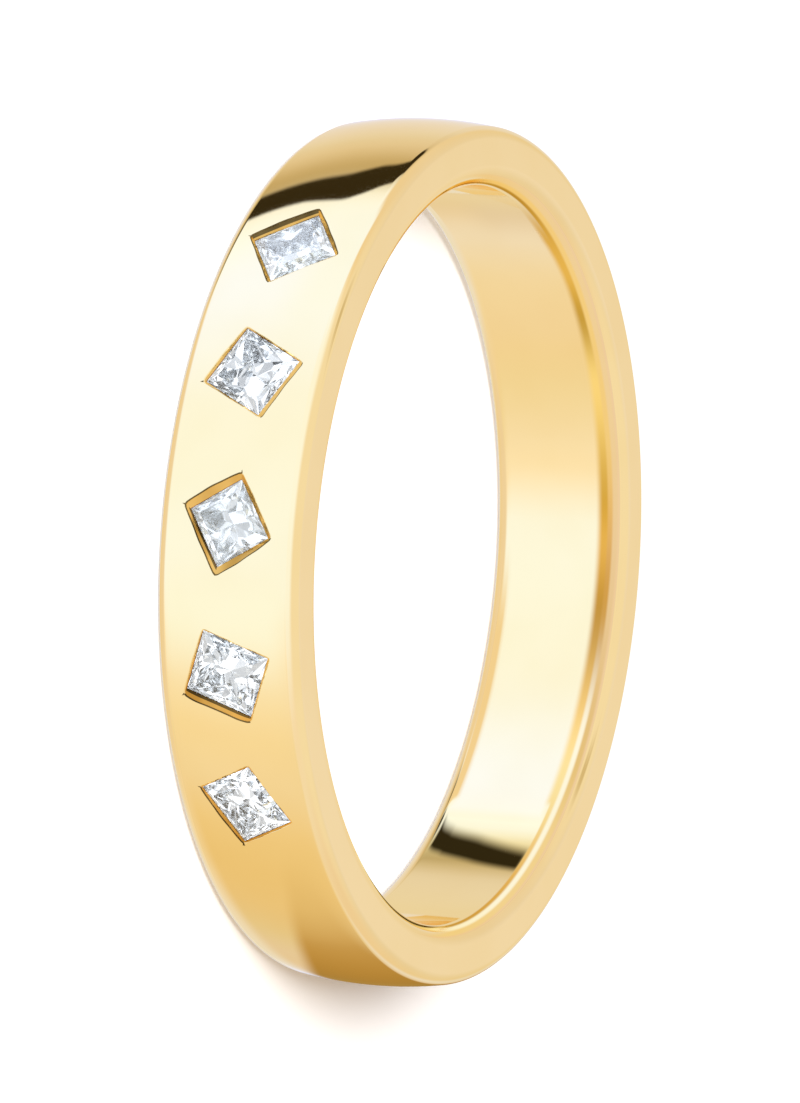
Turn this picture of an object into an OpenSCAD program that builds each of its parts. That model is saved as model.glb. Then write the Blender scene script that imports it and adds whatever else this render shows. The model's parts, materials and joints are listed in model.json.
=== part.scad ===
/* [Band] */
// Inner diameter of the band, which is the finger's size
bore_d = 17; // [14:0.5:22]
// Width of the band, along the finger
band_w = 3.4; // [3.2:0.1:5]
// Thickness of the wall at the crest of the outer face
wall_t = 1.5; // [1.5:0.1:2.2]
// How far the outer face rises from its edges to its crest
dome_rise = 0.16; // [0.08:0.02:0.2]
// Radius of the two outer edges
outer_edge_r = 0.3; // [0.1:0.05:0.35]
// Radius of the two inner edges, which lets the finger slide in
inner_edge_r = 0.5; // [0.2:0.05:0.6]

/* [Stones] */
// Width of the table, as a share of the stone's length
table_share = 0.7; // [0.6:0.02:0.78]
// Height of the crown over the girdle, as a share of the length
crown_share = 0.1; // [0.07:0.01:0.12]
// Height of the girdle's upright rim, as a share of the length
girdle_share = 0.03; // [0.02:0.005:0.04]
// Depth of the pavilion under the girdle, as a share of the length
pavilion_share = 0.56; // [0.52:0.01:0.58]

/* [Settings] */
// Clearance of each stone over its tapered seat
seat_gap = 0.02; // [0.01:0.005:0.02]
// Diameter of the light hole behind each stone
light_hole_d = 0.7; // [0.5:0.05:0.8]

/* [Hidden] */

// One row for each stone: its place round the band and its turn from the band's
// direction in degrees, how far it lies above the middle of the width, its length and
// width, those of its pocket, and how deep its girdle lies under the crest
AT = 0; TURN = 1; UP = 2; LENGTH = 3; WIDTH = 4; WELL_LENGTH = 5; WELL_WIDTH = 6; SINK = 7;
stones = [
    [-39.6, 35, 0.00, 1.48, 1.54, 1.69, 1.64, 0.16],
    [-19.9, 63, 0.04, 1.62, 1.50, 1.70, 1.56, 0.10],
    [  0.1, 31, 0.03, 1.46, 1.37, 1.69, 1.56, 0.15],
    [ 19.4, 70, 0.03, 1.62, 1.46, 1.67, 1.60, 0.10],
    [ 38.1, 27, 0.03, 1.60, 1.42, 1.65, 1.53, 0.10],
];
// The middle stone faces this way, seen from above
middle_stone_angle = -90;

bore_r = bore_d / 2;
crest_r = bore_r + wall_t;
half_w = band_w / 2;
cut_past = 1;

// The outer face is an arc through both edges and the crest
dome_r = (half_w * half_w + dome_rise * dome_rise) / (2 * dome_rise);
dome_x = crest_r - dome_r;
edge_z = half_w - outer_edge_r;
edge_x = dome_x + sqrt(pow(dome_r - outer_edge_r, 2) - pow(edge_z, 2));
inner_x = bore_r + inner_edge_r;

// Places on the stone are shares of half its length: the crown's mid-side corner and
// the three corners where the pavilion's facets meet on the middle of each side
crown_corner_out = 0.88;
crown_corner_up = 0.55;
pavilion_out = [0.78, 0.52, 0.26];
pavilion_down = [0.42, 0.76, 1.0];
// The seat follows the pavilion's steepest facets, down to this share of half the length
seat_depth_share = 1.06;

// Circular section through the wall: x is the radius and y runs along the axis
module band_section() {
    translate([inner_x, -half_w]) square([edge_x - inner_x, band_w]);
    translate([bore_r, inner_edge_r - half_w]) square([inner_edge_r + 0.1, band_w - 2 * inner_edge_r]);
    for (side = [-1, 1]) {
        translate([inner_x, side * (half_w - inner_edge_r)]) circle(inner_edge_r, $fn = 64);
        translate([edge_x, side * edge_z]) circle(outer_edge_r, $fn = 64);
    }
    intersection() {
        translate([dome_x, 0]) circle(dome_r, $fn = 720);
        far = 3 * (edge_x - dome_x);
        slope = edge_z / (edge_x - dome_x);
        polygon([
            [inner_x, -slope * (inner_x - dome_x)], [dome_x + far, -slope * far],
            [dome_x + far, slope * far], [inner_x, slope * (inner_x - dome_x)],
        ]);
    }
}

// Puts a stone or its pocket on the band: its own z points outwards from the axis,
// its x runs round the band, and its origin is the middle of the girdle's top
module on_band(stone) {
    translate([0, 0, half_w + stone[UP]]) rotate([0, 0, middle_stone_angle + stone[AT]])
        translate([crest_r - stone[SINK], 0, 0]) rotate([90, 0, 90])
            rotate([0, 0, stone[TURN]]) children();
}

// Wedge whose two sloping faces stand on a seat's opposite sides, size apart
module seat_wedge(size, depth) {
    top = size / 2 + seat_gap;
    bottom = top - size / 2 * seat_depth_share * (1 - pavilion_out[0]) / pavilion_down[0];
    rotate([90, 0, 0]) linear_extrude(height = 2 * size, center = true)
        polygon([[-top, 0], [top, 0], [bottom, -depth], [-bottom, -depth]]);
}

// Oblong pocket with a tapered seat, and the light hole behind it
module pocket(stone) {
    half = stone[LENGTH] / 2;
    floor_z = -stone[LENGTH] * girdle_share - seat_gap;
    depth = seat_depth_share * half;
    well = [stone[WELL_LENGTH], stone[WELL_WIDTH], cut_past - floor_z];
    translate([-well[0] / 2, -well[1] / 2, floor_z]) cube(well);
    translate([0, 0, floor_z + seat_gap]) intersection() {
        seat_wedge(stone[LENGTH], depth);
        rotate([0, 0, 90]) seat_wedge(stone[WIDTH], depth);
    }
    translate([0, 0, -wall_t - cut_past]) cylinder(h = wall_t + cut_past - half / 2, d = light_hole_d, $fn = 64);
}

module band() {
    color("gold") difference() {
        translate([0, 0, half_w]) rotate_extrude($fn = 360) band_section();
        for (stone = stones) on_band(stone) pocket(stone);
    }
}

// The four turned copies of a point, one for each side of a stone
function turned(p) = [for (k = [0:3]) [
    p[0] * cos(90 * k) - p[1] * sin(90 * k),
    p[0] * sin(90 * k) + p[1] * cos(90 * k), p[2]]];

// Square brilliant cut: a table, sixteen crown facets, the girdle's rim, and fans of
// long facets that run from each corner down to the point. It is laid out square and
// then drawn in to its width
module cut_stone(length, width) {
    half = length / 2;
    rim_z = -length * girdle_share;
    point_z = rim_z - length * pavilion_share;
    table = turned([table_share * half, table_share * half, crown_share * length]);
    crown = turned([0, crown_corner_out * half, crown_corner_up * crown_share * length]);
    rim_top = turned([half, half, 0]);
    rim_bottom = turned([half, half, rim_z]);
    fans = [for (i = [0:2]) each turned([0, pavilion_out[i] * half, rim_z - pavilion_down[i] * half])];
    TABLE = 0; CROWN = 4; TOP = 8; BOTTOM = 12; FAN = 16; POINT = 28;
    faces = [
        [for (k = [3:-1:0]) TABLE + k],
        for (k = [0:3]) let (n = (k + 1) % 4) each [
            [TABLE + k, TABLE + n, CROWN + k],
            [TABLE + k, CROWN + k, TOP + k],
            [TABLE + n, TOP + n, CROWN + k],
            [TOP + k, CROWN + k, TOP + n],
            [TOP + k, TOP + n, BOTTOM + n, BOTTOM + k],
            [BOTTOM + k, BOTTOM + n, FAN + k],
            for (i = [0:1]) each [
                [BOTTOM + k, FAN + 4 * i + k, FAN + 4 * i + 4 + k],
                [BOTTOM + n, FAN + 4 * i + 4 + k, FAN + 4 * i + k],
            ],
            [BOTTOM + k, FAN + 8 + k, POINT],
            [BOTTOM + n, POINT, FAN + 8 + k],
        ],
    ];
    square = concat(table, crown, rim_top, rim_bottom, fans, [[0, 0, point_z]]);
    polyhedron([for (p = square) [p[0], p[1] * width / length, p[2]]], faces);
}

module stone(number) {
    row = stones[number - 1];
    color("aliceblue") on_band(row) cut_stone(row[LENGTH], row[WIDTH]);
}

band();
stone(1);  // stone_1
stone(2);  // stone_2
stone(3);  // stone_3
stone(4);  // stone_4
stone(5);  // stone_5
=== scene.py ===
"""Looks of a slim gold wedding ring with five flush-set stones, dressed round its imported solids."""

import json
import logging
import math
from collections.abc import Callable, Iterable
from dataclasses import dataclass
from enum import Enum

import bmesh
import bpy
from mathutils import Matrix, Vector

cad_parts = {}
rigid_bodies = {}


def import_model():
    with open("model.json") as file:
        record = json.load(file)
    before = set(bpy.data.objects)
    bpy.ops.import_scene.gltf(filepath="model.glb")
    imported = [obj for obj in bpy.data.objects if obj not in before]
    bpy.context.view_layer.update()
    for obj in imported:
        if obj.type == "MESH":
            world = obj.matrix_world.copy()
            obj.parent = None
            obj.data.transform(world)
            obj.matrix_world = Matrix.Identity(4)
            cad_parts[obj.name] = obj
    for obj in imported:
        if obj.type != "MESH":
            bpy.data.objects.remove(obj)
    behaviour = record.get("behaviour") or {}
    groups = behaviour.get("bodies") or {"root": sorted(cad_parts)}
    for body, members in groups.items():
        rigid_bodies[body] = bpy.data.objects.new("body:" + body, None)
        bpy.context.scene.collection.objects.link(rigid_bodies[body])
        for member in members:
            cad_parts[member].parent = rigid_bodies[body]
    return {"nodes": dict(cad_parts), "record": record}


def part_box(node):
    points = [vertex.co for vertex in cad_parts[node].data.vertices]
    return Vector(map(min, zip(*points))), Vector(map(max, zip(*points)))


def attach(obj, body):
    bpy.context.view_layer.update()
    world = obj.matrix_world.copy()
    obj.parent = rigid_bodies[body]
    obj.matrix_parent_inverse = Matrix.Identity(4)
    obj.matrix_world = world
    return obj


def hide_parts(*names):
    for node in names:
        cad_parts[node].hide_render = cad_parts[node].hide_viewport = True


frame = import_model()

log = logging.getLogger("ring")

MM = 0.001
DEGREES = 180.0 / math.pi
UP = Vector((0.0, 0.0, 1.0))
Colour = tuple[float, float, float]
Point2 = tuple[float, float]
Outline = Callable[[int], Vector]
Run = tuple[tuple[float, Colour], ...]
# Where a soft-edged stretch starts and ends, and how far either end is blurred
Stretch = tuple[float, float, Point2]
BRIGHTEST = 2.0


class Ray(Enum):
    """The kinds of ray that see surroundings of their own, by their Light Path output."""

    CAMERA = "Is Camera Ray"
    DIFFUSE = "Is Diffuse Ray"
    TRANSMISSION = "Is Transmission Ray"


class Value:
    """A shader socket that takes part in Python arithmetic."""

    def __init__(self, graph: "Graph", socket: bpy.types.NodeSocket) -> None:
        """Keeps the socket and its graph.

        Args:
            graph: The graph that new nodes are added to.
            socket: The output that this value stands for.
        """
        self.graph = graph
        self.socket = socket

    def function(self, operation: str, *terms: "Value | float") -> "Value":
        """A Math node's function of this value and more terms."""
        return self.graph.math(operation, self, *terms)

    def __add__(self, other: "Value | float") -> "Value":
        """Sum with a value or a number."""
        return self.graph.math("ADD", self, other)

    def __sub__(self, other: "Value | float") -> "Value":
        """This value less another or a number."""
        return self.graph.math("SUBTRACT", self, other)

    def __rsub__(self, other: float) -> "Value":
        """A number less this value."""
        return self.graph.math("SUBTRACT", other, self)

    def __mul__(self, other: "Value | float") -> "Value":
        """Product with a value or a number."""
        return self.graph.math("MULTIPLY", self, other)

    def __truediv__(self, other: "Value | float") -> "Value":
        """This value divided by another or a number."""
        return self.graph.math("DIVIDE", self, other)

    def __rtruediv__(self, other: float) -> "Value":
        """A number divided by this value."""
        return self.graph.math("DIVIDE", other, self)

    __radd__ = __add__
    __rmul__ = __mul__

    def step(self, low: float, high: float) -> "Value":
        """A soft step.

        Args:
            low: Where the step is 0.
            high: Where the step is 1.

        Returns:
            The step, from 0 to 1.
        """
        sockets = {"Value": self, "From Min": low, "From Max": high}
        return self.graph.add("ShaderNodeMapRange", {"interpolation_type": "SMOOTHSTEP"}, sockets)

    def blend(self, under: "Value | Colour", over: "Value | Colour") -> "Value":
        """Mixes two colours with this value as the share of the second.

        Args:
            under: The colour where this value is 0.
            over: The colour where this value is 1.

        Returns:
            The mixed colour.
        """
        return self.graph.add("ShaderNodeMix", {"data_type": "RGBA"}, {0: self, 6: under, 7: over}, 2)


class Graph:
    """One node tree, filled by code."""

    def __init__(self, tree: bpy.types.NodeTree) -> None:
        """Empties a tree.

        Args:
            tree: The tree to fill.
        """
        self.tree = tree
        tree.nodes.clear()

    def add(self, kind: str, settings: dict | None = None, sockets: dict | None = None,
            out: int | str = 0) -> Value:
        """Adds one node.

        Args:
            kind: The node's type.
            settings: Its properties.
            sockets: Its inputs by name or number, each a number, a colour or a Value.
            out: The output to return.

        Returns:
            That output.
        """
        node = self.tree.nodes.new(kind)
        for name, value in (settings or {}).items():
            setattr(node, name, value)
        for name, value in (sockets or {}).items():
            socket = node.inputs[name]
            if isinstance(value, Value):
                self.tree.links.new(value.socket, socket)
            elif socket.type == "RGBA":
                socket.default_value = (*value, 1.0)
            else:
                socket.default_value = value
        return Value(self, node.outputs[out] if node.outputs else None)

    def math(self, operation: str, *terms: Value | float) -> Value:
        """Adds one Math node.

        Args:
            operation: What it works out.
            *terms: Its inputs, in order.

        Returns:
            Its result.
        """
        return self.add("ShaderNodeMath", {"operation": operation}, dict(enumerate(terms)))

    def run(self, stops: Run, low: float, high: float, place: Value) -> Value:
        """Adds a smooth run of colours. Its ramp holds shares of the brightest, as it can't pass 1.

        Args:
            stops: Places between the low and the high end, in order, with their colours.
            low: The low end.
            high: The high end.
            place: Where along the run each point lies.

        Returns:
            The colour there.
        """
        share = self.add("ShaderNodeValToRGB", {}, {"Fac": (place - low) / (high - low)})
        ramp = share.socket.node.color_ramp
        ramp.interpolation = "CARDINAL"
        ramp.elements.remove(ramp.elements[-1])
        for count, (stop, colour) in enumerate(stops):
            spot = (stop - low) / (high - low)
            element = ramp.elements.new(spot) if count else ramp.elements[0]
            element.position = spot
            element.color = (*(part / BRIGHTEST for part in colour), 1.0)
        return self.add("ShaderNodeVectorMath", {"operation": "SCALE"}, {0: share, "Scale": BRIGHTEST})


@dataclass(frozen=True)
class Gold:
    """Yellow gold, with a noise unevenness: faint on the polished gold, as a polishing wheel leaves it, and
    on the darkened cut golds strong patches of painted shade.

    The echo is the paler colour that it gives to what it mirrors a second time: a painted paler reflection,
    picked by the ray's depth.
    """

    name: str
    colour: Colour = (1.0, 0.79, 0.44)
    deeper: Colour = (0.99, 0.775, 0.42)
    rim: Colour = (1.0, 0.86, 0.55)
    echo: Colour = (1.0, 0.90, 0.68)
    roughness: float = 0.04
    haze: float = 0.03
    ripple: float = 0.02
    grain: float = 0.7 * MM

    def material(self) -> bpy.types.Material:
        """Builds the gold.

        Returns:
            The material.
        """
        made = bpy.data.materials.new(self.name)
        made.use_nodes = True
        graph = Graph(made.node_tree)
        place = graph.add("ShaderNodeTexCoord", out="Object")
        # The cloud mixes in the deeper colour: faint tone changes on the polished gold, painted patches of
        # shade on the darkened cut golds.
        cloud, hairs, swell = (
            graph.add("ShaderNodeTexNoise", {}, {
                "Vector": place, "Scale": fineness / self.grain, "Detail": detail})
            for fineness, detail in ((0.35, 2.0), (12.0, 3.0), (0.5, 0.0)))
        bump = graph.add("ShaderNodeBump", {}, {
            "Strength": self.ripple, "Distance": 0.05 * MM, "Height": swell + hairs * 0.01})
        # Past the camera's ray the gold takes the echo colour, a painted paler reflection.
        again = graph.add("ShaderNodeLightPath", out="Ray Depth").step(0.0, 1.0)
        metal = graph.add("ShaderNodeBsdfPrincipled", {}, {
            "Base Color": again.blend(cloud.step(0.35, 0.7).blend(self.colour, self.deeper), self.echo),
            "Metallic": 1.0,
            "Specular Tint": self.rim,
            "Roughness": hairs.step(0.4, 0.8) * self.haze + self.roughness,
            "Normal": bump,
        })
        graph.add("ShaderNodeOutputMaterial", {}, {"Surface": metal})
        return made


class Cut(Enum):
    """The golds of the cut faces: the lip's a little deeper than the polished gold, while the amber and the
    dark gold are darkened as painted shade in the pockets.
    """

    LIP = Gold("lip_gold", (0.98, 0.73, 0.35), (0.95, 0.67, 0.29), roughness=0.07)
    # Amber gold, deeper than the polished gold: painted shade on the pocket walls.
    AMBER_SHADE = Gold(
        "amber_shade_cut", (0.84, 0.46, 0.11), (0.56, 0.28, 0.05), roughness=0.15, ripple=0.1, grain=0.3 * MM)
    # Dark brown gold: painted shade on pocket walls, lips and nicks.
    PAINTED_SHADE = Gold("painted_shade_cut", (0.20, 0.12, 0.035), (0.07, 0.042, 0.012), roughness=0.2, grain=0.3 * MM)


class Side(Enum):
    """Which cut gold each part of a pocket's side takes: its lip, and the upper and lower part of its wall.
    The dark parts are painted shade, and the amber walls a lighter painted shade.
    """

    PLAIN = (Cut.LIP, Cut.AMBER_SHADE, Cut.AMBER_SHADE)
    OUTLINED = (Cut.PAINTED_SHADE, Cut.AMBER_SHADE, Cut.AMBER_SHADE)
    LINED = (Cut.PAINTED_SHADE, Cut.AMBER_SHADE, Cut.PAINTED_SHADE)
    SHADED = (Cut.PAINTED_SHADE, Cut.PAINTED_SHADE, Cut.AMBER_SHADE)


@dataclass(frozen=True)
class Diamond:
    """Clear colourless diamond."""

    name: str
    colour: Colour = (0.98, 0.99, 1.0)
    glare: Colour = (0.62, 0.54, 0.40)
    index: float = 2.417
    silvered: bool = False
    haze: float = 0.0

    def material(self) -> bpy.types.Material:
        """Builds the diamond, clear or with the full return of light of its lower facets.

        Returns:
            The material.
        """
        made = bpy.data.materials.new(self.name)
        made.use_nodes = True
        graph = Graph(made.node_tree)
        clear = {"IOR": self.index, "Transmission Weight": 1.0, "Specular Tint": self.glare}
        facet = graph.add("ShaderNodeBsdfPrincipled", {}, {
            "Base Color": self.colour, "Roughness": self.haze,
            **({"Metallic": 1.0} if self.silvered else clear)})
        graph.add("ShaderNodeOutputMaterial", {}, {"Surface": facet})
        return made


@dataclass(frozen=True)
class Setting:
    """Where one stone sits: the middle of its girdle's top, its own axes and its size."""

    centre: Vector
    along: Vector
    across: Vector
    out: Vector
    half_length: float
    half_width: float
    crown: float
    girdle: float
    depth: float

    @classmethod
    def of(cls, node: str) -> "Setting":
        """Reads a stone's place from its solid.

        Args:
            node: The stone's CAD node.

        Returns:
            Its setting.
        """
        points = [v.co.copy() for v in frame["nodes"][node].data.vertices]
        tip = min(points, key=lambda p: p.xy.length)
        out = Vector((tip.x, tip.y, 0.0)).normalized()
        sides = cls._sides(points, tip, out)
        along, across = sorted(sides, key=lambda s: s.angle(UP.cross(out)))[:2]
        reach = (along + across).length - 1e-7
        rim = [(p - tip).dot(out) for p in points if cls._aside(p, tip, out).length > reach]
        table = max((p - tip).dot(out) for p in points)
        return cls(tip + max(rim) * out, along.normalized(), across.normalized(), out, along.length,
                   across.length, table - max(rim), max(rim) - min(rim), max(rim))

    @staticmethod
    def _aside(point: Vector, tip: Vector, out: Vector) -> Vector:
        """How far a point lies from the stone's own line, as a vector."""
        return (point - tip) - (point - tip).dot(out) * out

    @classmethod
    def _sides(cls, points: list[Vector], tip: Vector, out: Vector) -> list[Vector]:
        """Finds the middles of the girdle's upper sides.

        Args:
            points: The stone's corners.
            tip: The point of its pavilion.
            out: The way it faces.

        Returns:
            The middles of the sides that lie above the stone's line, measured from that line.
        """
        offsets = [cls._aside(p, tip, out) for p in points]
        reach = max(o.length for o in offsets)
        corners = sorted(
            {tuple(round(c, 7) for c in o) for o in offsets if o.length > reach - 1e-7},
            key=lambda o: math.atan2(o[2], Vector(o).dot(UP.cross(out))))
        ring = [Vector(c) for c in corners]
        middles = [(a + b) / 2 for a, b in zip(ring, ring[1:] + ring[:1])]
        return [m for m in middles if m.z > 0]

    def matrix(self) -> Matrix:
        """The stone's own axes and centre, as a matrix."""
        turn = Matrix((self.along, self.across, self.out)).transposed().to_4x4()
        return Matrix.Translation(self.centre) @ turn


@dataclass
class Stone:
    """A square brilliant, ground out of a block one plane after another.

    Places on it are shares of half its length and width, and of half its length in height.
    """

    node: str
    setting: Setting
    table: float = 0.7
    crown_corner: Point2 = (0.88, 0.55)
    chevrons: tuple[Point2, ...] = ((1.0, 0.0), (0.78, 0.42), (0.52, 0.76), (0.26, 1.0), (0.0, 1.12))

    def planes(self) -> list[tuple[Vector, Vector, Vector]]:
        """The planes to grind on half of one side, each through three places.

        Returns:
            The planes.
        """
        half = self.setting.half_length
        crown, girdle = self.setting.crown / half, -self.setting.girdle / half
        edge, out = self.table, self.crown_corner[0]
        table = Vector((edge, edge, crown))
        middle = Vector((0.0, out, crown * self.crown_corner[1]))
        rim = Vector((1.0, 1.0, 0.0))
        upper = [(table, Vector((-edge, edge, crown)), middle), (table, middle, rim),
                 (middle, rim, Vector((-1.0, 1.0, 0.0)))]
        low = Vector((1.0, 1.0, girdle))
        fan = [Vector((0.0, out, girdle - down)) for out, down in self.chevrons]
        return upper + [(low, near, far) for near, far in zip(fan, fan[1:])]

    def build(self, clear: bpy.types.Material, bright: bpy.types.Material) -> bpy.types.Object:
        """Grinds the stone and sets it in its place.

        Args:
            clear: The diamond of the crown.
            bright: The diamond of the pavilion, whose facets send the light back.

        Returns:
            The stone.
        """
        size = self.setting
        half = size.half_length
        mesh = bmesh.new()
        height = (size.crown + size.depth) / half
        middle = (size.crown - size.depth) / half / 2
        block = Matrix.Translation((0, 0, middle)) @ Matrix.Diagonal((2, 2, height, 1))
        bmesh.ops.create_cube(mesh, size=1.0, matrix=block)
        for plane in self.planes():
            for quarter in range(4):
                turn = Matrix.Rotation(quarter * math.pi / 2, 3, "Z")
                for side in (1, -1):
                    self._grind(mesh, [turn @ Vector((p.x * side, p.y, p.z)) for p in plane])
        for face in mesh.faces:
            face.material_index = 1 if face.normal.z < 0.1 else 0
        mesh.transform(size.matrix() @ Matrix.Diagonal((half, size.half_width, half, 1)))
        stone = made_object(self.node.replace("stone", "diamond"), mesh, [clear, bright])
        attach(stone, "root")
        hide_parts(self.node)
        return stone

    @staticmethod
    def _grind(mesh: bmesh.types.BMesh, places: list[Vector]) -> None:
        """Takes away what lies outside a plane, and closes the stone with the new facet.

        Args:
            mesh: The stone, round the frame's origin.
            places: Three places on the plane.
        """
        start, second, third = places
        outward = (second - start).cross(third - start).normalized()
        if outward.dot(start) < 0:
            outward.negate()
        cut = bmesh.ops.bisect_plane(
            mesh, geom=[*mesh.verts, *mesh.edges, *mesh.faces], dist=1e-5, plane_co=start,
            plane_no=outward, clear_outer=True)
        rim = [g for g in cut["geom_cut"] if isinstance(g, bmesh.types.BMEdge)]
        if any(edge.is_boundary for edge in rim):
            bmesh.ops.edgeloop_fill(mesh, edges=rim)
            bmesh.ops.recalc_face_normals(mesh, faces=mesh.faces)


@dataclass(frozen=True)
class Nick:
    """A small cut that the graver left past a corner of a pocket."""

    corner: int
    turn: float
    length: float = 0.07 * MM
    thickness: float = 0.026 * MM


@dataclass(frozen=True)
class Mouth:
    """The hand-cut mouth of one pocket, measured from its stone's centre.

    Corners run counter-clockwise from the one that is behind along both of the stone's
    axes, and each side starts at the corner of its number. A bow is how far a side's
    middle stands out, the ripple is a wave along the first side, and every side wavers.
    """

    corners: tuple[Point2, Point2, Point2, Point2]
    bows: tuple[float, float, float, float] = (0.0, 0.0, 0.0, 0.0)
    sides: tuple[Side, Side, Side, Side] = (Side.PLAIN, Side.PLAIN, Side.PLAIN, Side.PLAIN)
    ripple: float = 0.0
    waver: float = 0.006
    nicks: tuple[Nick, ...] = ()

    def point(self, side: int, share: float) -> Vector:
        """A point on the mouth's edge.

        Args:
            side: The side's number.
            share: How far along the side, from 0 to 1.

        Returns:
            The point, in the stone's own axes.
        """
        start, end = (Vector(self.corners[(side + k) % 4]) * MM for k in (0, 1))
        edge = end - start
        outward = Vector((edge.y, -edge.x)).normalized()
        swell = self.bows[side] + self.waver * math.sin(5 * math.pi * share + 2 * side)
        stand = swell * MM * 4 * share * (1 - share)
        if side == 0:
            stand += self.ripple * MM * math.sin(3 * math.pi * share)
        return start + edge * share + outward * stand


@dataclass
class Pocket:
    """The recess cut for one stone: a softened mouth, a wall, a ledge and a tapered seat.

    The cutter's top lies above the skin and flares out by a share of the lip's radius. The
    belly is the share of the wall's height that its upper part takes.
    """

    setting: Setting
    mouth: Mouth
    lip: float = 0.025 * MM
    flare: float = 1.5
    flare_rise: float = 0.134
    above: float = 0.4 * MM
    belly: float = 0.6
    clearance: float = 0.006 * MM
    foot: float = 0.02 * MM
    seat_depth: float = 1.06
    seat_slope: float = 0.524
    hole_r: float = 0.35 * MM
    steps: int = 20
    shaders: tuple[Cut, ...] = tuple(Cut)

    def _mouth_ring(self, place: int, spread: float) -> Vector:
        """A point of the mouth's outline with its corners eased, spread outwards."""
        count = 4 * self.steps
        spots = [(place + shift) % count for shift in (-1, 0, 0, 1)]
        points = [self.mouth.point(spot // self.steps, spot % self.steps / self.steps) for spot in spots]
        return sum(points, Vector((0.0, 0.0))) / 4 * (1 + spread / self.setting.half_length)

    def _girdle_ring(self, place: int, spread: float) -> Vector:
        """A point of the stone's outline, spread outwards."""
        signs = ((-1, -1), (1, -1), (1, 1), (-1, 1))
        start, end = (Vector(signs[(place // self.steps + k) % 4]) for k in (0, 1))
        point = start.lerp(end, place % self.steps / self.steps)
        size = self.setting
        return Vector((point.x * (size.half_length + spread), point.y * (size.half_width + spread)))

    def levels(self, band: "Band") -> list[Outline]:
        """The outlines of the cut from above the skin down to the seat's foot.

        Args:
            band: The band that the pocket is cut into.

        Returns:
            A function from a point's number to its place, for each level.
        """
        def on_skin(lift: float, spread: float) -> Outline:
            """An outline that follows the band's skin."""
            def place(number: int) -> Vector:
                flat = self._mouth_ring(number, spread)
                spot = self.setting.matrix() @ flat.to_3d()
                return Vector((*flat, band.skin(spot, self.setting.out) + lift))
            return place

        def level(height: float, outline: Callable[[int], Vector]) -> Outline:
            """An outline at one height over the girdle's top."""
            return lambda number: Vector((*outline(number), height))

        size = self.setting
        ledge = -size.girdle - self.clearance
        depth = self.seat_depth * size.half_length
        shrink = 1 - self.seat_depth * self.seat_slope
        flare = self.flare * self.lip
        lip_angles = [math.radians(angle) for angle in (30, 60, 90)]
        rounds = [on_skin(-self.lip * (1 - math.cos(a)), self.lip * (1 - math.sin(a))) for a in lip_angles]
        rim = rounds[-1]
        foot = level(self.foot, lambda n: self._girdle_ring(n, self.clearance))
        return [
            level(self.above, lambda n: self._mouth_ring(n, flare)),
            on_skin(self.flare_rise * self.lip, flare),
            *rounds,
            lambda n: rim(n).lerp(foot(n), self.belly),
            foot,
            level(ledge, lambda n: self._girdle_ring(n, self.clearance)),
            level(ledge - depth, lambda n: self._girdle_ring(n, 0) * shrink),
        ]

    def cutter(self, band: "Band") -> bmesh.types.BMesh:
        """Builds the solid that is taken out of the band.

        Args:
            band: The band that the pocket is cut into.

        Returns:
            The solid's mesh, in the ring's frame.
        """
        mesh = bmesh.new()
        number = mesh.verts.layers.int.new("number")
        bmesh.ops.create_circle(mesh, cap_ends=True, segments=4 * self.steps, radius=1.0)
        for place, corner in enumerate(mesh.verts):
            corner[number] = place
        levels = self.levels(band)
        self._set(mesh.verts, number, levels[0])
        rim = list(mesh.edges)
        parts = (0, 0, 0, 0, 1, 2, 2, 2)
        for level, part in zip(levels[1:], parts):
            made = bmesh.ops.extrude_edge_only(mesh, edges=rim)["geom"]
            rim = [g for g in made if isinstance(g, bmesh.types.BMEdge)]
            self._set([g for g in made if isinstance(g, bmesh.types.BMVert)], number, level)
            # Each face takes its side's gold for its part; the amber and dark golds paint shade on the walls.
            for face in [g for g in made if isinstance(g, bmesh.types.BMFace)]:
                face.material_index = self._shader_of([corner[number] for corner in face.verts], part)
        bmesh.ops.edgeloop_fill(mesh, edges=rim)
        self._drill(mesh)
        for nick in self.mouth.nicks:
            self._scratch(mesh, nick, band)
        bmesh.ops.recalc_face_normals(mesh, faces=mesh.faces)
        mesh.transform(self.setting.matrix())
        return mesh

    def _shader_of(self, numbers: list[int], part: int) -> int:
        """The cut gold of a face, from its corners' numbers and the part of the side that it is on; its amber
        and dark golds are painted shade.
        """
        across_start = max(numbers) - min(numbers) > 1
        side = 3 if across_start else min(numbers) // self.steps
        return self.shaders.index(self.mouth.sides[side].value[part])

    @staticmethod
    def _set(corners: Iterable[bmesh.types.BMVert], number: bmesh.types.BMLayerItem, level: Outline) -> None:
        """Moves the corners of an outline to a level."""
        for corner in corners:
            corner.co = level(corner[number])

    def _drill(self, mesh: bmesh.types.BMesh) -> None:
        """Adds the light hole behind the stone.

        Args:
            mesh: The cutter, in the stone's own axes.
        """
        bottom = -2.2 * MM
        top = -self.setting.half_length
        bmesh.ops.create_cone(
            mesh, cap_ends=True, segments=64, radius1=self.hole_r, radius2=self.hole_r, depth=top - bottom,
            matrix=Matrix.Translation((0, 0, (top + bottom) / 2)))

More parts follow.
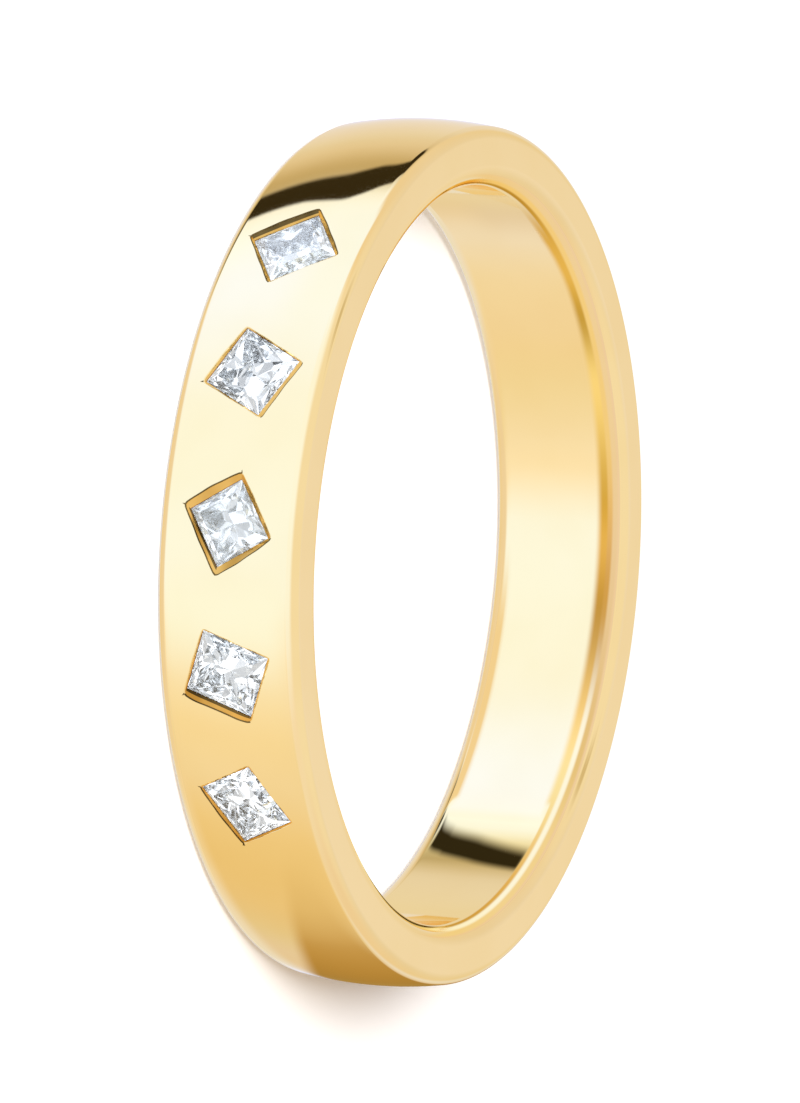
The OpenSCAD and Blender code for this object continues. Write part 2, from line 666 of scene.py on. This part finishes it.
    def _scratch(self, mesh: bmesh.types.BMesh, nick: Nick, band: "Band") -> None:
        """Adds the tapered cut that a nick leaves.

        Args:
            mesh: The cutter, in the stone's own axes.
            nick: The nick.
            band: The band that it is cut into.
        """
        start = self.mouth.point(nick.corner, 0.0)
        away = Matrix.Rotation(math.radians(nick.turn), 2) @ start.normalized()
        heights = [band.skin(self.setting.matrix() @ p.to_3d(), self.setting.out)
                   for p in (start, start + away * nick.length)]
        tail = Vector((*(start - away * nick.length * 0.2), heights[0]))
        tip = Vector((*(start + away * nick.length), heights[1]))
        line = tip - tail
        place = Matrix.Translation((tail + tip) / 2) @ line.to_track_quat("Z", "Y").to_matrix().to_4x4()
        made = bmesh.ops.create_cone(
            mesh, cap_ends=True, segments=6, radius1=nick.thickness, radius2=nick.thickness * 0.1,
            depth=line.length, matrix=place)
        # The nick's faces take the dark gold: painted shade in its groove.
        for face in {face for corner in made["verts"] for face in corner.link_faces}:
            face.material_index = self.shaders.index(Cut.PAINTED_SHADE)


@dataclass
class Band:
    """The gold band: a wall with a domed outer face and rounded edges, turned round the axis."""

    pockets: list[Pocket]
    wall: float = 1.5 * MM
    dome_rise: float = 0.16 * MM
    outer_edge_r: float = 0.3 * MM
    inner_edge_r: float = 0.5 * MM
    turns: int = 540
    node: str = "band"

    def __post_init__(self) -> None:
        """Works out the section from the frame and the driving sizes."""
        low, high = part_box(self.node)
        self.width = high.z - low.z
        self.middle = (high.z + low.z) / 2
        self.bore_r = frame["record"]["mounts"][0]["dims"]["r_mm"] * MM
        half = self.width / 2
        self.dome_r = (half ** 2 + self.dome_rise ** 2) / (2 * self.dome_rise)
        self.dome_x = self.bore_r + self.wall - self.dome_r
        self.edge_z = half - self.outer_edge_r
        self.edge_x = self.dome_x + math.sqrt((self.dome_r - self.outer_edge_r) ** 2 - self.edge_z ** 2)
        self.inner_x = self.bore_r + self.inner_edge_r
        self.inner_z = half - self.inner_edge_r

    def skin(self, point: Vector, out: Vector) -> float:
        """How far the outer face lies from a point, along a level direction.

        Args:
            point: The point.
            out: The direction, through the ring's axis.

        Returns:
            The distance.
        """
        radius = self.dome_x + math.sqrt(self.dome_r ** 2 - (point.z - self.middle) ** 2)
        ahead = point.dot(out)
        aside = (point - ahead * out).xy.length
        return math.sqrt(radius ** 2 - aside ** 2) - ahead

    def normal(self, point: Vector) -> Vector:
        """The outward direction of the turned surface at one of its points.

        Args:
            point: The point.

        Returns:
            The direction.
        """
        round_way = Vector((point.x, point.y, 0.0)).normalized()
        reach, rise = point.xy.length, point.z - self.middle
        side = math.copysign(1.0, rise)
        if reach > self.edge_x and abs(rise) < self.edge_z * reach / self.edge_x:
            centre = (self.dome_x, 0.0)
        elif reach > self.edge_x:
            centre = (self.edge_x, side * self.edge_z)
        elif reach < self.inner_x and abs(rise) > self.inner_z:
            centre = (self.inner_x, side * self.inner_z)
        elif abs(rise) > self.inner_z:
            return UP * side
        else:
            return -round_way
        return ((reach - centre[0]) * round_way + (rise - centre[1]) * UP).normalized()

    def _arc(self, mesh: bmesh.types.BMesh, corner: bmesh.types.BMVert, centre: Point2,
             angle: float, steps: int) -> bmesh.types.BMVert:
        """Draws an arc of the section from its last corner.

        Args:
            mesh: The section.
            corner: Where the arc starts.
            centre: The arc's centre, from the axis and from the middle of the width.
            angle: How far it turns, in radians.
            steps: How many straight pieces it has.

        Returns:
            The corner where it ends.
        """
        spun = bmesh.ops.spin(
            mesh, geom=[corner], cent=(centre[0], 0.0, self.middle + centre[1]), axis=(0.0, -1.0, 0.0),
            angle=angle, steps=steps, use_merge=False, use_duplicate=False)
        return next(g for g in spun["geom_last"] if isinstance(g, bmesh.types.BMVert))

    @staticmethod
    def _line(mesh: bmesh.types.BMesh, corner: bmesh.types.BMVert, step: Vector) -> bmesh.types.BMVert:
        """Draws a straight piece of the section.

        Args:
            mesh: The section.
            corner: Where it starts.
            step: From its start to its end.

        Returns:
            The corner where it ends.
        """
        end = bmesh.ops.extrude_vert_indiv(mesh, verts=[corner])["verts"][0]
        end.co += step
        return end

    def solid(self) -> bmesh.types.BMesh:
        """Turns the section round the axis.

        Returns:
            The uncut band.
        """
        mesh = bmesh.new()
        tilt = math.asin(self.edge_z / (self.dome_r - self.outer_edge_r))
        quarter = math.pi / 2
        flat = Vector((self.edge_x - self.inner_x, 0.0, 0.0))
        start = mesh.verts.new((self.dome_x + self.dome_r * math.cos(tilt), 0.0,
                                self.middle - self.dome_r * math.sin(tilt)))
        corner = self._arc(mesh, start, (self.dome_x, 0.0), 2 * tilt, 28)
        corner = self._arc(mesh, corner, (self.edge_x, self.edge_z), quarter - tilt, 9)
        corner = self._line(mesh, corner, -flat)
        corner = self._arc(mesh, corner, (self.inner_x, self.inner_z), quarter, 12)
        corner = self._line(mesh, corner, UP * -2 * self.inner_z)
        corner = self._arc(mesh, corner, (self.inner_x, -self.inner_z), quarter, 12)
        corner = self._line(mesh, corner, flat)
        self._arc(mesh, corner, (self.edge_x, -self.edge_z), quarter - tilt, 9)
        bmesh.ops.remove_doubles(mesh, verts=mesh.verts, dist=1e-7)
        bmesh.ops.spin(
            mesh, geom=[*mesh.verts, *mesh.edges], cent=(0.0, 0.0, 0.0), axis=(0.0, 0.0, 1.0),
            angle=2 * math.pi, steps=self.turns, use_merge=True, use_duplicate=False)
        bmesh.ops.recalc_face_normals(mesh, faces=mesh.faces)
        return mesh

    def build(self, polished: bpy.types.Material, cuts: list[bpy.types.Material]) -> bpy.types.Object:
        """Builds the cut band and dresses it.

        Args:
            polished: The gold of the turned faces.
            cuts: The golds inside the pockets, one for each cut gold, the amber and dark ones painted shade.

        Returns:
            The band.
        """
        whole = made_object("gold_band_blank", self.solid(), [polished])
        tools = bpy.data.collections.new("cutters")
        for count, pocket in enumerate(self.pockets, 1):
            tool = made_object(f"cutter_{count}", pocket.cutter(self), cuts)
            bpy.context.scene.collection.objects.unlink(tool)
            tools.objects.link(tool)
        carve = whole.modifiers.new("pockets", "BOOLEAN")
        carve.operand_type = "COLLECTION"
        carve.collection = tools
        carve.operation = "DIFFERENCE"
        carve.solver = "EXACT"
        carve.use_self = True
        carve.material_mode = "TRANSFER"
        shaped = bpy.data.meshes.new_from_object(whole.evaluated_get(bpy.context.evaluated_depsgraph_get()))
        for spare in [whole, *tools.objects]:
            bpy.data.objects.remove(spare)
        bpy.data.collections.remove(tools)
        self._smooth(shaped)
        band = bpy.data.objects.new("gold_band", shaped)
        bpy.context.scene.collection.objects.link(band)
        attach(band, "root")
        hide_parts(self.node)
        return band

    def _smooth(self, mesh: bpy.types.Mesh) -> None:
        """Shades the turned faces as the true curve and the cut faces as they lie.

        Args:
            mesh: The cut band.
        """
        mesh.polygons.foreach_set("use_smooth", [True] * len(mesh.polygons))
        mesh.set_sharp_from_angle(angle=math.radians(24))
        normals = [Vector(corner.vector) for corner in mesh.corner_normals]
        for face in mesh.polygons:
            if face.material_index == 0:
                for loop in face.loop_indices:
                    normals[loop] = self.normal(mesh.vertices[mesh.loops[loop].vertex_index].co)
        mesh.normals_split_custom_set(normals)


@dataclass(frozen=True)
class Card:
    """A soft-edged stretch of the surroundings that the gold mirrors, in degrees.

    It runs from one azimuth to another and between two heights over the horizon. Each
    pair of softness values blurs its start and end, or its lower and upper edge.
    """

    light: Colour
    start: float
    end: float
    low: float
    high: float
    blur: Point2 = (4.0, 4.0)
    fade: Point2 = (6.0, 6.0)

    def over(self, under: Value | Colour, azimuth: Value, height: Value) -> Value:
        """Lays the card over what is behind it.

        Args:
            under: The colour behind it.
            azimuth: The direction's azimuth.
            height: The direction's angle over the horizon.

        Returns:
            The colour with the card.
        """
        along = between(azimuth, self.start, self.end, self.blur)
        return (along * between(height, self.low, self.high, self.fade)).blend(under, self.light)


@dataclass(frozen=True)
class Streak:
    """A dark streak that leans and widens as it rises.

    Each row gives a height and the angles where the streak starts and ends there.
    """

    rows: tuple[tuple[float, float, float], ...]
    span: Point2
    light: Colour = (0.035, 0.027, 0.012)
    blur: Point2 = (1.6, 1.1)
    fade: Point2 = (6.0, 2.5)

    def over(self, under: Value, azimuth: Value, height: Value) -> Value:
        """Lays the streak over what is behind it.

        Args:
            under: The colour behind it.
            azimuth: The angle round the ring.
            height: The height, in the rows' own measure.

        Returns:
            The colour with the streak.
        """
        stops = tuple((rise, (start / 180 + 1, end / 180 + 1, 0.0)) for rise, start, end in self.rows)
        edges = azimuth.graph.run(stops, *self.span, height)
        start, end = (azimuth.graph.add("ShaderNodeSeparateColor", {}, {"Color": edges}, side) * 180.0 - 180.0
                      for side in (0, 1))
        inside = (azimuth - start).step(-self.blur[0], self.blur[0])
        inside = inside * (end - azimuth).step(-self.blur[1], self.blur[1])
        inside = inside * between(height, self.rows[0][0], self.rows[-1][0], self.fade)
        return inside.blend(under, self.light)


def between(angle: Value, low: float, high: float, soft: Point2) -> Value:
    """A mask that is 1 between two angles or places, with a soft edge at each.

    Args:
        angle: The angle or place.
        low: Where the mask starts.
        high: Where it ends.
        soft: How far each edge is blurred, to either side.

    Returns:
        The mask.
    """
    return angle.step(low - soft[0], low + soft[0]) * (1.0 - angle.step(high - soft[1], high + soft[1]))


@dataclass
class Strip:
    """A strip bent round the ring's axis, which only the polished faces mirror.

    Angles run round that axis, from the row's last end.
    """

    name: str
    radius: float
    low: float
    high: float
    start: float
    end: float
    steps: int = 64

    def build(self) -> bpy.types.Object:
        """Bends the strip, facing outwards, and lights it.

        Returns:
            The strip.
        """
        mesh = bmesh.new()
        turn = Matrix.Rotation(math.radians(self.start), 4, "Z")
        corners = [mesh.verts.new(turn @ Vector((self.radius, 0.0, z))) for z in (self.low, self.high)]
        edge = mesh.edges.new(corners)
        bmesh.ops.spin(
            mesh, geom=[*corners, edge], cent=(0.0, 0.0, 0.0), axis=(0.0, 0.0, 1.0),
            angle=math.radians(self.end - self.start), steps=self.steps, use_merge=False, use_duplicate=False)
        mesh.normal_update()
        inward = [face for face in mesh.faces if face.normal.dot(face.calc_center_median()) < 0]
        bmesh.ops.reverse_faces(mesh, faces=inward)
        strip = made_object(self.name, mesh, [self.material()])
        for ray in ("camera", "diffuse", "shadow", "transmission"):
            setattr(strip, f"visible_{ray}", False)
        return strip

    def material(self) -> bpy.types.Material:
        """The strip's light, which is sheer where it doesn't cover what is behind it.

        Returns:
            The material.
        """
        made = bpy.data.materials.new(self.name)
        made.use_nodes = True
        made.cycles.emission_sampling = "NONE"
        graph = Graph(made.node_tree)
        place = graph.add("ShaderNodeTexCoord", out="Object")
        x, y, z = (graph.add("ShaderNodeSeparateXYZ", {}, {"Vector": place}, axis) for axis in "XYZ")
        angle = graph.math("ARCTAN2", x * -1.0, y) * DEGREES + 90.0
        colour, cover = self.glow_and_cover(graph, angle, z)
        shine = graph.add("ShaderNodeEmission", {}, {"Color": colour})
        sheer = graph.add("ShaderNodeBsdfTransparent")
        mix = graph.add("ShaderNodeMixShader", {}, {0: cover, 1: sheer, 2: shine})
        graph.add("ShaderNodeOutputMaterial", {}, {"Surface": mix})
        return made

    def glow_and_cover(self, graph: Graph, angle: Value, height: Value) -> tuple[Value, Value]:
        """Works out the strip's light and how far it covers what is behind it.

        Args:
            graph: The material's graph.
            angle: The angle round the axis.
            height: The height over the floor.

        Returns:
            The colour and the cover.
        """
        raise NotImplementedError


@dataclass
class Collar(Strip):
    """The warm strip outside the ring's last end."""

    name: str = "warm_strip"
    radius: float = 14.0 * MM
    low: float = -4.6 * MM
    high: float = 3.8 * MM
    start: float = -88.0
    end: float = 72.0
    glow: Run = (
        (-84, (1.00, 1.18, 1.50)), (-72, (1.00, 1.17, 1.45)), (-64, (0.98, 1.00, 1.00)),
        (-56, (0.95, 0.88, 0.70)), (-44, (0.91, 0.83, 0.66)), (-33, (0.87, 0.73, 0.45)),
        (-12, (0.83, 0.70, 0.46)), (0, (0.80, 0.75, 0.66)), (12, (0.80, 0.78, 0.92)),
    )
    shade: Run = (
        (-14, (0.70, 0.53, 0.25)), (0, (0.58, 0.41, 0.18)), (30, (0.42, 0.28, 0.09)),
    )
    shade_start: Point2 = (-34.0, 4.0)
    shade_low: float = -1.55 * MM
    shade_lean: float = -0.07 * MM
    shade_foot: Point2 = (-0.35 * MM, 0.45 * MM)
    shade_top: Point2 = (0.9 * MM, 2.2 * MM)
    lit_heights: Stretch = (-3.9 * MM, 2.7 * MM, (0.6 * MM, 1.0 * MM))
    lit_angles: Stretch = (-82.0, 64.0, (5.0, 7.0))

    def glow_and_cover(self, graph: Graph, angle: Value, height: Value) -> tuple[Value, Value]:
        """Changes along the strip, with a deep amber shade, and fades at the edges.

        Args:
            graph: The material's graph.
            angle: The angle round the axis.
            height: The height over the floor.

        Returns:
            The colour and the cover.
        """
        glow, shade = (graph.run(lights, -180.0, 180.0, angle) for lights in (self.glow, self.shade))
        foot = height - self.shade_low - angle * self.shade_lean
        dusk = angle.step(*self.shade_start) * foot.step(*self.shade_foot)
        dusk = dusk * (1.0 - height.step(*self.shade_top))
        cover = between(height, *self.lit_heights) * between(angle, *self.lit_angles)
        return dusk.blend(glow, shade), cover


@dataclass
class Lining(Strip):
    """The amber strip just inside the hole's far wall, which is clear from the hole's side.

    It lights the wall's two rounded edges, and near the row's last end it puts a leaning
    dark streak on the wall. Heights of its parts are from the middle of the width, in mm.
    """

    name: str = "amber_strip"
    radius: float = 8.3 * MM
    low: float = -0.6 * MM
    high: float = 4.5 * MM
    start: float = -8.0
    end: float = 196.0
    middle: float = 1.7 * MM
    core: Run = (
        (10, (0.60, 0.42, 0.13)), (35, (0.80, 0.60, 0.28)), (55, (0.98, 0.98, 0.80)),
        (68, (0.94, 0.80, 0.50)), (84, (0.58, 0.40, 0.14)), (95, (0.80, 0.56, 0.18)),
        (104, (0.70, 0.51, 0.14)), (122, (0.97, 0.84, 0.44)), (133, (0.60, 0.44, 0.12)),
        (144, (0.80, 0.58, 0.18)), (165, (0.54, 0.36, 0.08)),
    )
    glow: Run = (
        (50, (1.00, 1.18, 1.60)), (68, (0.98, 1.12, 1.50)), (82, (0.66, 0.50, 0.30)),
        (96, (0.76, 0.55, 0.30)), (112, (0.90, 0.76, 0.46)),
    )
    haze: Run = (
        (45, (0.89, 0.82, 0.62)), (62, (0.79, 0.68, 0.46)), (85, (0.82, 0.73, 0.66)),
        (115, (0.87, 0.79, 0.70)),
    )
    top: Colour = (0.86, 0.77, 0.76)
    layer_rises: tuple[Point2, ...] = ((1.06, 1.16), (1.24, 1.38), (1.46, 1.64), (1.8, 2.2))
    wall: Run = (
        (22, (0.84, 0.87, 1.00)), (32, (0.80, 0.80, 0.84)), (35, (0.66, 0.62, 0.52)),
        (37.5, (0.54, 0.50, 0.36)), (42, (0.90, 0.95, 0.90)), (45, (1.00, 1.20, 1.60)),
        (48, (1.00, 1.20, 1.60)), (150, (0.86, 0.91, 1.10)),
    )
    beyond_angles: Stretch = (51.0, 158.0, (0.8, 8.0))
    margin: Colour = (0.90, 0.80, 0.62)
    margin_rise: Point2 = (-1.0, 0.0)
    crest_heights: Stretch = (1.0, 2.5, (0.1, 0.25))
    crest_angles: Stretch = (6.0, 182.0, (5.0, 5.0))
    crest_sag: float = 0.5
    sag_angles: Point2 = (138.0, 185.0)
    patch_heights: Stretch = (-1.6, 1.15, (0.15, 0.1))
    patch_angles: tuple[Stretch, ...] = ((0.0, 48.0, (6.0, 1.5)), (158.0, 188.0, (8.0, 6.0)))
    foot_heights: Stretch = (-2.15, -1.3, (0.1, 0.1))
    foot_angles: Stretch = (50.0, 88.0, (2.0, 8.0))
    streak: Streak = Streak(
        ((-1.45, 39.5, 47.0), (-1.3, 38.8, 45.0), (-1.0, 38.0, 43.7), (-0.1, 36.6, 42.2), (1.1, 35.4, 40.2)),
        (-2.0, 2.0), (0.030, 0.025, 0.012), (1.1, 1.8), (0.1, 0.1))

    def glow_and_cover(self, graph: Graph, angle: Value, height: Value) -> tuple[Value, Value]:
        """Lays the edges' ambers over each other by height, next to the streaked wall.

        Args:
            graph: The material's graph.
            angle: The angle round the axis.
            height: The height over the floor.

        Returns:
            The colour and the cover.
        """
        up = (height - self.middle) / MM
        core, glow, haze, wall = (
            graph.run(lights, -180.0, 180.0, angle)
            for lights in (self.core, self.glow, self.haze, self.wall))
        beyond = between(angle, *self.beyond_angles)
        colour = beyond.blend(self.streak.over(wall, angle, up), core)
        for rise, light in zip(self.layer_rises, (core, glow, haze, self.top)):
            colour = up.step(*rise).blend(colour, light)
        colour = (beyond * (1.0 - up.step(*self.margin_rise))).blend(colour, self.margin)
        crest = between(up + angle.step(*self.sag_angles) * self.crest_sag, *self.crest_heights)
        crest = crest * between(angle, *self.crest_angles)
        first, last = (between(angle, *stretch) for stretch in self.patch_angles)
        patch = (first + last) * between(up, *self.patch_heights)
        foot = between(up, *self.foot_heights) * between(angle, *self.foot_angles)
        cover = crest.function("MAXIMUM", patch).function("MAXIMUM", foot)
        return colour, cover * (1.0 - graph.add("ShaderNodeNewGeometry", out="Backfacing"))


@dataclass
class Studio:
    """The pale floor, the soft light, the surroundings and the camera."""

    floor_size: float = 3.0
    azimuth: float = 2.28
    elevation: float = 24.28
    roll: float = 93.69
    distance: float = 184.34 * MM
    focal: float = 261.1
    sensor: float = 36.0
    aim: Vector = Vector((0.004, -0.103, 1.470)) * MM
    level_light: Run = (
        (-180, (0.85, 0.95, 1.30)), (-150, (0.85, 0.92, 1.35)), (-138, (0.82, 0.84, 1.00)),
        (-128, (0.75, 0.70, 0.65)), (-113, (0.58, 0.52, 0.40)), (-102, (1.00, 1.15, 1.50)),
        (-75, (1.00, 1.24, 2.00)), (-36, (1.00, 1.18, 1.55)), (15, (1.00, 1.18, 1.55)),
        (30, (1.00, 1.00, 1.00)), (42, (0.95, 0.92, 0.85)), (60, (0.90, 0.84, 0.67)),
        (78, (0.90, 0.82, 0.67)), (110, (0.90, 0.88, 0.88)), (150, (0.86, 0.97, 1.45)),
        (180, (0.85, 0.95, 1.30)),
    )
    high_light: Run = (
        (-180, (0.89, 0.89, 0.98)), (-162, (0.84, 0.81, 0.80)), (-95, (0.88, 0.79, 0.64)),
        (-82, (0.91, 0.84, 0.72)), (-60, (1.00, 1.12, 1.35)), (20, (1.00, 1.15, 1.45)),
        (48, (0.94, 0.91, 0.90)), (75, (0.91, 0.87, 0.82)), (105, (0.87, 0.78, 0.67)),
        (135, (0.86, 0.78, 0.67)), (162, (0.84, 0.81, 0.78)), (180, (0.89, 0.89, 0.98)),
    )
    low_light: Colour = (0.87, 0.80, 0.72)
    zenith_light: Colour = (0.92, 0.89, 0.80)
    high_rise: Point2 = (-4.0, 12.0)
    low_rise: Point2 = (-66.0, -48.0)
    zenith_rise: Point2 = (30.0, 62.0)
    edge_line: Card = Card((0.64, 0.55, 0.35), -142, -102, 56, 63, blur=(8, 8), fade=(5, 5))
    window: Card = Card((1.00, 1.22, 1.75), -97, -52, -20, 24, blur=(6, 14), fade=(6, 5))
    streak: Streak = Streak(
        ((-55, -112.5, -102.0), (-27, -112.5, -101.5), (-22, -113.0, -100.0), (-19, -116.0, -100.5),
         (-16.3, -118.5, -104.0), (-14, -125.0, -108.0), (1, -122.0, -110.0)), (-60.0, 10.0))
    floor_colour: Colour = (0.9, 0.9, 0.9)
    floor_glow: Colour = (0.19, 0.13, 0.10)
    floor_light: float = 0.25
    lamp_size: float = 210 * MM
    lamp_power: float = 2.35
    lamp_place: Vector = Vector((-90.0, -270.0, 330.0)) * MM
    gap_light: Colour = (0.60, 0.60, 0.60)
    tent_light: Colour = (1.60, 1.59, 1.57)
    tent_sides: float = 0.9
    side_angles: Point2 = (25.0, 115.0)
    tent_edges: Point2 = (0.40, 0.54)

    def camera(self) -> bpy.types.Object:
        """Sets up the camera at the photograph's angle, turned so that the ring looks upright.

        Returns:
            The camera.
        """
        lens = bpy.data.cameras.new("camera")
        lens.lens = self.focal
        lens.sensor_fit = "VERTICAL"
        lens.sensor_height = self.sensor
        lens.sensor_width = self.sensor
        lens.clip_start = self.distance / 10
        lens.clip_end = 10.0
        made = bpy.data.objects.new("camera", lens)
        level = Matrix.Rotation(math.radians(self.azimuth), 4, "Z")
        tilt = Matrix.Rotation(math.radians(90.0 - self.elevation), 4, "X")
        roll = Matrix.Rotation(math.radians(self.roll), 4, "Z")
        back = Matrix.Translation((0.0, 0.0, self.distance))
        made.matrix_world = Matrix.Translation(self.aim) @ level @ tilt @ back @ roll
        bpy.context.scene.collection.objects.link(made)
        bpy.context.scene.camera = made
        return made

    def floor(self) -> bpy.types.Object:
        """Lays the pale, faintly glowing floor, which the polished pieces don't mirror.

        Returns:
            The floor.
        """
        made = bpy.data.materials.new("floor")
        made.use_nodes = True
        made.cycles.emission_sampling = "NONE"
        graph = Graph(made.node_tree)
        matt = graph.add("ShaderNodeBsdfPrincipled", {}, {
            "Base Color": self.floor_colour, "Roughness": 1.0, "Specular IOR Level": 0.0,
            "Emission Color": self.floor_glow, "Emission Strength": 1.0})
        graph.add("ShaderNodeOutputMaterial", {}, {"Surface": matt})
        mesh = bmesh.new()
        bmesh.ops.create_grid(mesh, x_segments=1, y_segments=1, size=self.floor_size / 2)
        ground = made_object("floor", mesh, [made])
        ground.visible_glossy = False
        ground.visible_transmission = False
        return ground

    def light(self) -> bpy.types.Object:
        """Hangs the one soft lamp, before the row's first end.

        Returns:
            The lamp.
        """
        lamp = bpy.data.lights.new("soft_lamp", "AREA")
        lamp.shape = "DISK"
        lamp.size = self.lamp_size
        lamp.energy = self.lamp_power
        made = bpy.data.objects.new("soft_lamp", lamp)
        turn = self.lamp_place.to_track_quat("Z", "Y").to_matrix().to_4x4()
        made.matrix_world = Matrix.Translation(self.lamp_place) @ turn
        made.visible_glossy = False
        made.visible_transmission = False
        bpy.context.scene.collection.objects.link(made)
        return made

    def surroundings(self) -> bpy.types.World:
        """Paints what the polished pieces mirror, by direction from the ring.

        Azimuths run from the side that the middle stone faces towards the row's last end.

        Returns:
            The world.
        """
        made = bpy.data.worlds.new("studio")
        made.use_nodes = True
        made.cycles.sampling_method = "NONE"
        bpy.context.scene.world = made
        graph = Graph(made.node_tree)
        way = graph.add("ShaderNodeTexCoord", out="Generated")
        parts = [graph.add("ShaderNodeSeparateXYZ", {}, {"Vector": way}, axis) for axis in "XYZ"]
        azimuth = graph.math("ARCTAN2", parts[0], parts[1] * -1.0) * DEGREES
        height = parts[2].function("ARCSINE") * DEGREES
        level, high = (
            graph.run(lights, -180.0, 180.0, azimuth) for lights in (self.level_light, self.high_light))
        sky = height.step(*self.high_rise).blend(level, high)
        sky = height.step(*self.low_rise).blend(self.low_light, sky)
        sky = height.step(*self.zenith_rise).blend(sky, self.zenith_light)
        for piece in (self.window, self.streak, self.edge_line):
            sky = piece.over(sky, azimuth, height)
        around = {Ray.CAMERA: (1.0, 1.0, 1.0), Ray.DIFFUSE: (self.floor_light,) * 3,
                  Ray.TRANSMISSION: self._sparkle(graph, way, azimuth)}
        for ray, light in around.items():
            sky = graph.add("ShaderNodeLightPath", out=ray.value).blend(sky, light)
        shine = graph.add("ShaderNodeBackground", {}, {"Color": sky})
        graph.add("ShaderNodeOutputWorld", {}, {"Surface": shine})
        return made

    def _sparkle(self, graph: Graph, way: Value, azimuth: Value) -> Value:
        """What the stones gather: a white tent with darker gaps, brighter at its sides.

        Args:
            graph: The world's graph.
            way: The direction.
            azimuth: Its azimuth.

        Returns:
            The colour.
        """
        blots = graph.add("ShaderNodeTexNoise", {"noise_dimensions": "4D"}, {
            "Vector": way, "W": 2.6, "Scale": 2.6, "Detail": 1.0})
        tent = blots.step(*self.tent_edges).blend(self.gap_light, self.tent_light)
        aside = azimuth.function("ABSOLUTE").step(*self.side_angles) * self.tent_sides + 1.0
        return graph.add("ShaderNodeVectorMath", {"operation": "SCALE"}, {0: tent, "Scale": aside})

    def finish_look(self) -> None:
        """Sets the view transform and the bounces that the stones need."""
        scene = bpy.context.scene
        scene.view_settings.view_transform = "Standard"
        scene.cycles.use_denoising = True
        scene.cycles.max_bounces = 32
        scene.cycles.transmission_bounces = 20
        scene.cycles.glossy_bounces = 16


def made_object(name: str, mesh: bmesh.types.BMesh, shaders: list[bpy.types.Material]) -> bpy.types.Object:
    """Turns a bmesh into an object in the scene.

    Args:
        name: The object's name.
        mesh: Its mesh, which is freed.
        shaders: Its materials.

    Returns:
        The object.
    """
    data = bpy.data.meshes.new(name)
    mesh.to_mesh(data)
    mesh.free()
    for shader in shaders:
        data.materials.append(shader)
    made = bpy.data.objects.new(name, data)
    bpy.context.scene.collection.objects.link(made)
    return made


# Each mouth's sides say where the amber and dark golds paint shade in its pocket.
MOUTHS = {
    "stone_1": Mouth(
        ((-0.86, -0.81), (0.84, -0.84), (0.83, 0.82), (-0.85, 0.83)), (0, 0.01, 0.02, 0.01),
        (Side.OUTLINED, Side.PLAIN, Side.OUTLINED, Side.SHADED), nicks=(Nick(0, 0),)),
    "stone_2": Mouth(
        ((-0.87, -0.79), (0.91, -0.77), (0.90, 0.77), (-0.83, 0.77)), (0, 0, 0, 0.01),
        (Side.PLAIN, Side.OUTLINED, Side.PLAIN, Side.PLAIN), nicks=(Nick(0, -12),)),
    "stone_3": Mouth(
        ((-0.87, -0.74), (0.88, -0.79), (0.78, 0.77), (-0.84, 0.78)), (0, 0.045, 0.03, 0.04),
        (Side.LINED, Side.OUTLINED, Side.PLAIN, Side.OUTLINED), nicks=(Nick(0, 4), Nick(3, 10))),
    "stone_4": Mouth(
        ((-0.84, -0.88), (0.84, -0.85), (0.86, 0.755), (-0.82, 0.76)), (0.035, 0, 0, 0.01),
        (Side.LINED, Side.PLAIN, Side.PLAIN, Side.PLAIN), ripple=0.018, nicks=(Nick(0, 10),)),
    "stone_5": Mouth(
        ((-0.83, -0.75), (0.84, -0.77), (0.84, 0.74), (-0.84, 0.75)), (0.01, 0, 0, 0),
        (Side.OUTLINED, Side.PLAIN, Side.PLAIN, Side.PLAIN),
        nicks=(Nick(1, -20), Nick(1, 4), Nick(1, 30), Nick(0, 8))),
}

SOFT_STONES = ("stone_1", "stone_3")


def main() -> None:
    """Builds the ring and its surroundings, in order."""
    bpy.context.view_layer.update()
    studio = Studio()
    studio.camera()
    studio.floor()
    studio.light()
    for strip in (Collar(), Lining()):
        strip.build()
    studio.surroundings()
    studio.finish_look()
    settings = {node: Setting.of(node) for node in MOUTHS}
    pockets = [Pocket(settings[node], mouth) for node, mouth in MOUTHS.items()]
    cuts = [shader.value.material() for shader in Cut]
    band = Band(pockets).build(Gold("polished_gold").material(), cuts)
    log.info("%s: %d faces", band.name, len(band.data.polygons))
    clear = Diamond("diamond", haze=0.03).material()
    soft = Diamond("soft_diamond", glare=(1.0, 0.80, 0.50), haze=0.11).material()
    bright = Diamond("diamond_pavilion", silvered=True, haze=0.04).material()
    for node, setting in settings.items():
        stone = Stone(node, setting).build(soft if node in SOFT_STONES else clear, bright)
        log.info("%s: %d facets", stone.name, len(stone.data.polygons))


if __name__ == "__main__":
    logging.basicConfig(level=logging.INFO, format="%(message)s")
    main()
